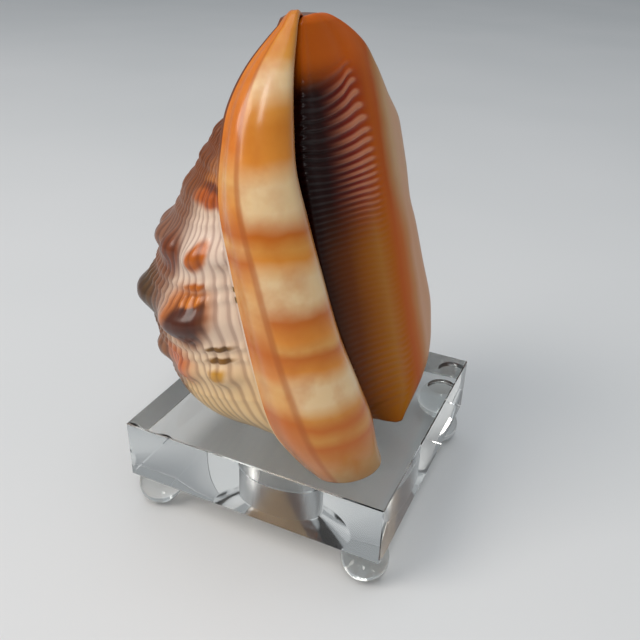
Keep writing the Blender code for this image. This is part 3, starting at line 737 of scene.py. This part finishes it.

# %% [markdown]
# The body whorl keeps its growth lines. The ribs are pale and the grooves between them purplish grey,
# with a painted highlight lightening the crest of each rib; the knobs are capped with brown, and the beads
# of the double cords are spotted orange. Each mark is a soft oval on two counts, the angle round the coil
# and the height along the rows, so it bends with them.

# %% Ribbed whorl
whorl_glaze, tree = new_material("aragonite_ribbed_whorl")
angle_at, row_at, outline_at, x_at, y_at, z_at, place_at = shell_places(tree)
crest_at = add(tree, "ShaderNodeAttribute", attribute_name="crest").outputs["Fac"]
knob_at = add(tree, "ShaderNodeAttribute", attribute_name="knob").outputs["Fac"]
around = warped(tree, angle_at, place_at, 9.0, 3.0)
up_rows = warped(tree, row_at, place_at, 6.0, 1.2)
ground = add(tree, "ShaderNodeValToRGB", {
    "Fac": add(tree, "ShaderNodeMath", {0: up_rows, 1: 120.0}, operation="DIVIDE").outputs[0]}, stops=(
    (0.0, "#C9A070"), (0.05, "#DEBB88"), (0.16, "#E4BE8A"), (0.25, "#E2BE92"), (0.36, "#E0C4AC"),
    (0.50, "#DEC2AC"), (0.64, "#E0C6B4"), (0.70, "#DABDA6"), (0.745, "#B9702E"), (0.80, "#A8683A"),
    (0.85, "#7A4426"), (1.0, "#6B3A20"))).outputs["Color"]
far_side = between(tree, around, 163.0, 147.0)
dark_knobs = times(tree, between(tree, knob_at, 2.6, 4.6), between(tree, angle_at, 150.0, 140.0))
layers = [
    (times(tree, far_side, 0.9), "#6E3816"),
    (patch(tree, around, up_rows, (157, 31), (9, 7), 0.5), "#BF6434"),
    (patch(tree, around, up_rows, (166, 51), (10.5, 10.5), 0.35), "#B5672E"),
    (patch(tree, around, up_rows, (168, 49), (7.6, 8.2), 0.3), "#4E2210"),
    (patch(tree, around, up_rows, (130, 48), (16, 10), 0.5), "#4A3418"),
    (patch(tree, around, up_rows, (150.5, 68.5), (6.5, 6.5), 0.5), "#6E3414"),
    (patch(tree, around, up_rows, (167.6, 70.6), (4.6, 4.8), 0.35), "#B35A12"),
    (patch(tree, around, up_rows, (168, 87.6), (16, 3.6), 0.35), "#A84E12"),
    (patch(tree, around, up_rows, (168, 90.6), (16, 1.5), 0.6), "#6B300F"),
    (patch(tree, around, up_rows, (168, 56.4), (3.6, 1.4), 0.4), "#C26C1C"),
    (patch(tree, around, up_rows, (168, 61), (3.6, 1.4), 0.4), "#B45F16"),
    (patch(tree, around, up_rows, (187, 57.8), (3.4, 1.0), 0.4), "#6E5014"),
    (patch(tree, around, up_rows, (187, 61.3), (3.0, 1.0), 0.4), "#7A5A1C"),
    (patch(tree, around, up_rows, (179, 40), (5.0, 1.0), 0.4), "#6E4A14"),
    (patch(tree, around, up_rows, (179, 35.8), (5.0, 1.0), 0.4), "#7A521A"),
    (patch(tree, around, up_rows, (178, 30.5), (4.0, 2.4), 0.4), "#C08A34"),
    (times(tree, dark_knobs, 0.8), "#4A2A14"),
]
colour = painted(tree, ground, layers)
groove = between(tree, crest_at, 0.1, -0.7)
colour = painted(tree, colour, [(times(tree, groove, 0.4), "#9A7C7A")], "MULTIPLY")
# Painted highlight: every rib crest is lightened a little towards near white.
crest = times(tree, between(tree, crest_at, 0.1, 0.5), 0.25)
colour = painted(tree, colour, [(crest, "#FFF2E4")], "SOFT_LIGHT")
finish_with(tree, add(tree, "ShaderNodeBsdfPrincipled", {
    "Base Color": colour, "Roughness": 0.32, "IOR": 1.53, "Specular IOR Level": 0.35,
    "Coat Weight": 0.15, "Coat Roughness": 0.15}))

# %% [markdown]
# The parietal shield is a sheet of callus that the animal's mantle poured over the whorl, thick and
# translucent at its free edge and deep orange where it meets the folds. The folds are pinkish on dark
# red-brown. Towards the lip and into the hollow the colour falls almost to black, partly the shell's own
# deep brown and partly painted shade where the lip keeps the light out.

# %% Glazed shield
shield_glaze, tree = new_material("aragonite_shield_glaze")
angle_at, row_at, outline_at, x_at, y_at, z_at, place_at = shell_places(tree)
ridge_at = add(tree, "ShaderNodeAttribute", attribute_name="ridge").outputs["Fac"]
bent = warped(tree, x_at, place_at, 16.0, 1.6)
across = add(tree, "ShaderNodeMath", {0: bent, 1: 60.0}, operation="DIVIDE")
across = add(tree, "ShaderNodeMath", {0: across.outputs[0], 1: 0.5}, operation="ADD").outputs[0]
# The ramps run from the pale callus on the right to near black on the lip's side; that dark end is partly
# the shell's own brown, partly painted shade.
upper_face = add(tree, "ShaderNodeValToRGB", {"Fac": across}, stops=(
    (0.10, "#120201"), (0.30, "#260602"), (0.42, "#561003"), (0.55, "#861F03"), (0.66, "#A43E03"),
    (0.74, "#B45404"), (0.80, "#B0500A"), (0.86, "#B47A48"), (0.93, "#C39C74"), (1.0, "#CBA284")))
lower_face = add(tree, "ShaderNodeValToRGB", {"Fac": across}, stops=(
    (0.20, "#2C0E03"), (0.36, "#6A3204"), (0.50, "#985404"), (0.62, "#AC6804"), (0.72, "#B06002"),
    (0.80, "#B85402"), (0.86, "#BC6012"), (0.94, "#C08048"), (1.0, "#CC9A78")))
height_mix = between(tree, z_at, 62.0, 88.0)
colour = painted(tree, lower_face.outputs["Color"], [(height_mix, upper_face.outputs["Color"])])
folded = between(tree, ridge_at, 0.15, 0.7)
# The fold crests are pink of their own, but the pink is laid only towards the open side and fades out
# towards the lip, where the hollow lies in painted shade.
lit = times(tree, folded, between(tree, x_at, -12.0, 6.0), 0.75)
top_orange = times(tree, between(tree, z_at, 116.0, 127.0), between(tree, x_at, 22.0, 8.0))
colour = painted(tree, colour, [(lit, "#D08A66"), (times(tree, top_orange, 0.85), "#D06206")])
# Inside the hollow the colour is pulled down to dark red-brown: partly the shell's own colour, partly
# painted shade.
hollow_brown_and_painted_shade = between(tree, outline_at, 31.5, 33.0)
colour = painted(tree, colour, [(times(tree, hollow_brown_and_painted_shade, 0.9), "#4A1A0A")])
finish_with(tree, add(tree, "ShaderNodeBsdfPrincipled", {
    "Base Color": colour, "Roughness": 0.3, "IOR": 1.53, "Specular IOR Level": 0.15,
    "Subsurface Weight": 0.15, "Subsurface Radius": (0.8, 0.35, 0.12), "Subsurface Scale": 0.004}))

# %% [markdown]
# The tree below reads the counts and lifts the surface. A cosine of the rib count is a groove every
# third column and a crest on the two between; the same crests swell the cords into beads. A cosine of
# the fold count gives the folds. The heights are inputs, so a smoother or rougher shell is one number
# away. Last, each zone gets its finish.

# %% Geometry Nodes: sculpture of the shell


def new_tree(name, inputs):
    """A Geometry Nodes tree with named inputs, its input node, and the sockets' identifiers."""
    tree = bpy.data.node_groups.new(name, "GeometryNodeTree")
    tree.interface.new_socket("Geometry", in_out="INPUT", socket_type="NodeSocketGeometry")
    identifiers = {}
    for label, value in inputs.items():
        socket = tree.interface.new_socket(label, in_out="INPUT", socket_type="NodeSocketFloat")
        socket.default_value = value
        identifiers[label] = socket.identifier
    tree.interface.new_socket("Geometry", in_out="OUTPUT", socket_type="NodeSocketGeometry")
    return tree, add(tree, "NodeGroupInput"), identifiers


def baked(piece, tree, identifiers, values):
    """The piece with the tree's result as its plain mesh, and no modifier left."""
    modifier = piece.modifiers.new("nodes", "NODES")
    modifier.node_group = tree
    for label, value in values.items():
        modifier[identifiers[label]] = value
    bpy.context.view_layer.update()
    result = bpy.data.meshes.new_from_object(piece.evaluated_get(bpy.context.evaluated_depsgraph_get()))
    piece.modifiers.remove(modifier)
    piece.data = result
    return piece


def new_piece(name, mesh):
    """An object that holds the mesh, at the origin of the scene."""
    mesh.name = name
    piece = bpy.data.objects.new(name, mesh)
    scene.collection.objects.link(piece)
    return piece


SCULPTURE = {"Knob height": 1.0, "Bead height": 1.0, "Rib depth": 0.22, "Fold height": 1.0}
tree, given, sculpture_ids = new_tree("shell_sculpture", SCULPTURE)
read = {}
for name in ("knob", "cord", "rib_share", "rib_count", "fold_share", "fold_count", "zone"):
    read[name] = add(tree, "GeometryNodeInputNamedAttribute", {"Name": name}, data_type="FLOAT").outputs[0]
outward = add(tree, "GeometryNodeInputNamedAttribute", {"Name": "outward"}, data_type="FLOAT_VECTOR")
turns = {}
for name in ("rib_count", "fold_count"):
    turn = add(tree, "ShaderNodeMath", {0: read[name], 1: 2 * pi}, operation="MULTIPLY")
    turns[name] = add(tree, "ShaderNodeMath", {0: turn.outputs[0]}, operation="COSINE").outputs[0]
crest = times(tree, turns["rib_count"], -1.0, read["rib_share"])
ribs = times(tree, crest, given.outputs["Rib depth"])
swell = add(tree, "ShaderNodeMath", {0: crest, 1: 0.5, 2: 0.6}, operation="MULTIPLY_ADD").outputs[0]
beads = times(tree, read["cord"], swell, given.outputs["Bead height"])
knobs = times(tree, read["knob"], given.outputs["Knob height"])
raised = add(tree, "ShaderNodeMath", {0: ribs, 1: beads}, operation="ADD")
raised = add(tree, "ShaderNodeMath", {0: raised.outputs[0], 1: knobs}, operation="ADD")
wave = add(tree, "ShaderNodeMath", {0: turns["fold_count"], 1: 0.5, 2: 0.5}, operation="MULTIPLY_ADD")
ridge = times(tree, wave.outputs[0], read["fold_share"])
folds = times(tree, ridge, given.outputs["Fold height"], MM)
normal = add(tree, "GeometryNodeInputNormal")
along_normal = add(tree, "ShaderNodeVectorMath", {0: normal.outputs[0], "Scale": folds}, operation="SCALE")
along_outward = add(tree, "ShaderNodeVectorMath", {
    0: outward.outputs[0], "Scale": times(tree, raised.outputs[0], MM)}, operation="SCALE")
offset = add(tree, "ShaderNodeVectorMath", {0: along_normal.outputs[0], 1: along_outward.outputs[0]},
             operation="ADD")
crest_kept = add(tree, "GeometryNodeStoreNamedAttribute", {
    "Geometry": given.outputs["Geometry"], "Name": "crest", "Value": crest}, data_type="FLOAT")
ridge_kept = add(tree, "GeometryNodeStoreNamedAttribute", {
    "Geometry": crest_kept.outputs[0], "Name": "ridge", "Value": ridge}, data_type="FLOAT")
shape = add(tree, "GeometryNodeSetPosition", {
    "Geometry": ridge_kept.outputs[0], "Offset": offset.outputs[0]}).outputs[0]
shape = add(tree, "GeometryNodeRealizeInstances", {0: shape}).outputs[0]
for number, finish in ((LIP, lip_glaze), (WHORL, whorl_glaze), (SHIELD, shield_glaze)):
    here = add(tree, "FunctionNodeCompare", {0: read["zone"], 1: float(number), "Epsilon": 0.4},
               data_type="FLOAT", operation="EQUAL")
    shape = add(tree, "GeometryNodeSetMaterial", {
        "Geometry": shape, "Selection": here.outputs[0], "Material": finish}).outputs[0]
add(tree, "NodeGroupOutput", {0: shape})
shell_mesh.materials.append(lip_glaze)
shell = baked(new_piece("shell_sculpted", shell_mesh), tree, sculpture_ids, SCULPTURE)
shell.data.shade_smooth()
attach(shell, "root")
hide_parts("shell")
print("shell faces", len(shell.data.polygons), "finishes", [m.name for m in shell.data.materials])

# %% [markdown]
# The block is cast acrylic, machined and polished: every outer face is clear, the countersink is
# turned smooth, and the bore keeps the fine matt grain of the saw. Clear plastic shows its shape only
# by bending what is behind it, so the mesh has to be closed, with its sharp edges just broken.

# %% Acrylic block
BORE_RADIUS = 17.4
COUNTERSINK_RADIUS = 29.3
COUNTERSINK_DEPTH = 9.7
BLOCK_SIDES = 160
EDGE_BREAK = 0.35


def acrylic(name, roughness):
    """Cast acrylic with a given finish, see-through by its transmission alone."""
    material, tree = new_material(name)
    where = add(tree, "ShaderNodeTexCoord")
    stretch = add(tree, "ShaderNodeMapping", {"Vector": where.outputs["Object"], "Scale": (900, 900, 60)})
    grain = add(tree, "ShaderNodeTexNoise", {"Vector": stretch.outputs[0], "Scale": 1.0, "Detail": 3.0})
    rough = add(tree, "ShaderNodeMapRange", {0: grain.outputs["Fac"], 1: 0.3, 2: 0.7,
                                             3: roughness * 0.7, 4: roughness * 1.3})
    finish_with(tree, add(tree, "ShaderNodeBsdfPrincipled", {
        "Base Color": linear("#F8FAF9"), "Roughness": rough.outputs[0], "IOR": 1.49,
        "Transmission Weight": 1.0}))
    return material


polished = acrylic("cast_acrylic_polished", 0.015)
lathe_turned = acrylic("cast_acrylic_turned", 0.12)
sawn = acrylic("cast_acrylic_sawn", 0.42)
directions = np.linspace(0, 2 * pi, BLOCK_SIDES, endpoint=False)
circle = np.column_stack([np.cos(directions), np.sin(directions)])
square = circle / abs(circle).max(1)[:, None]
half = BLOCK_SIDE / 2
rings = [(circle * BORE_RADIUS, -BLOCK_THICKNESS), (circle * BORE_RADIUS, -COUNTERSINK_DEPTH),
         (circle * COUNTERSINK_RADIUS, 0), (square * half, 0), (square * half, -BLOCK_THICKNESS)]
block_shape = bmesh.new()
loops = []
for flat, z in rings:
    loops.append([block_shape.verts.new(BLOCK_TOP + Vector((x, y, z)) * MM) for x, y in flat])
for ring, (lower, upper) in enumerate(zip(loops, loops[1:] + loops[:1])):
    for i in range(BLOCK_SIDES):
        j = (i + 1) % BLOCK_SIDES
        face = block_shape.faces.new((lower[i], lower[j], upper[j], upper[i]))
        face.material_index = {0: 2, 1: 1}.get(ring, 0)
bmesh.ops.recalc_face_normals(block_shape, faces=block_shape.faces)
sharp = [edge for edge in block_shape.edges if edge.calc_face_angle(0) > radians(30)]
bmesh.ops.bevel(block_shape, geom=sharp, offset=EDGE_BREAK * MM, segments=1, affect="EDGES")
block_mesh = bpy.data.meshes.new("block_polished")
block_shape.to_mesh(block_mesh)
block_shape.free()
block = new_piece("block_polished", block_mesh)
for finish in (polished, lathe_turned, sawn):
    block_mesh.materials.append(finish)
block_mesh.shade_smooth()
block_mesh.set_sharp_from_angle(angle=radians(30))
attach(block, "root")
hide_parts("block")
print("block faces", len(block_mesh.polygons))

# %% [markdown]
# Four clear balls hold the block off the table. They are one shape repeated, so Geometry Nodes set a
# sphere on four corner points, press its top flat under the block and its foot a little on the table.

# %% Geometry Nodes: ball feet
FOOT_RADIUS = 8.35
FOOT_SINK = 1.75
GLUE_GAP = 0.3
FOOT_FROM_CENTRE = 42.5
FOOT_FLAT_RADIUS = 2.0
foot_clear = acrylic("cast_acrylic_ball", 0.02)
FEET = {"Ball radius": FOOT_RADIUS * MM, "Flat top": (FOOT_RADIUS - FOOT_SINK - GLUE_GAP) * MM,
        "Flat foot": sqrt(FOOT_RADIUS**2 - FOOT_FLAT_RADIUS**2) * MM}
tree, given, feet_ids = new_tree("ball_feet", FEET)
ball = add(tree, "GeometryNodeMeshUVSphere", {
    "Segments": 64, "Rings": 48, "Radius": given.outputs["Ball radius"]})
where = add(tree, "GeometryNodeInputPosition")
parts = add(tree, "ShaderNodeSeparateXYZ", {0: where.outputs[0]})
pressed = add(tree, "ShaderNodeMath", {0: parts.outputs["Z"], 1: given.outputs["Flat top"]},
              operation="MINIMUM")
lowest = add(tree, "ShaderNodeMath", {0: given.outputs["Flat foot"], 1: -1.0}, operation="MULTIPLY")
pressed = add(tree, "ShaderNodeMath", {0: pressed.outputs[0], 1: lowest.outputs[0]}, operation="MAXIMUM")
joined = add(tree, "ShaderNodeCombineXYZ", {0: parts.outputs["X"], 1: parts.outputs["Y"],
                                            2: pressed.outputs[0]})
ball = add(tree, "GeometryNodeSetPosition", {"Geometry": ball.outputs[0], "Position": joined.outputs[0]})
placed = add(tree, "GeometryNodeInstanceOnPoints", {
    "Points": given.outputs["Geometry"], "Instance": ball.outputs[0]})
real = add(tree, "GeometryNodeRealizeInstances", {0: placed.outputs[0]})
made = add(tree, "GeometryNodeSetMaterial", {"Geometry": real.outputs[0], "Material": foot_clear})
add(tree, "NodeGroupOutput", {0: made.outputs[0]})
centre_z = -BLOCK_THICKNESS - FOOT_RADIUS + FOOT_SINK
foot_places = [BLOCK_TOP + Vector((x, y, centre_z)) * MM
               for x in (-FOOT_FROM_CENTRE, FOOT_FROM_CENTRE) for y in (-FOOT_FROM_CENTRE, FOOT_FROM_CENTRE)]
corner_mesh = bpy.data.meshes.new("foot_corners")
corner_mesh.from_pydata(foot_places, [], [])
feet = baked(new_piece("ball_feet", corner_mesh), tree, feet_ids, FEET)
feet.data.shade_smooth()
feet.data.set_sharp_from_angle(angle=radians(20))
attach(feet, "root")
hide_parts("foot_front_left", "foot_front_right", "foot_back_right", "foot_back_left")
print("feet faces", len(feet.data.polygons))
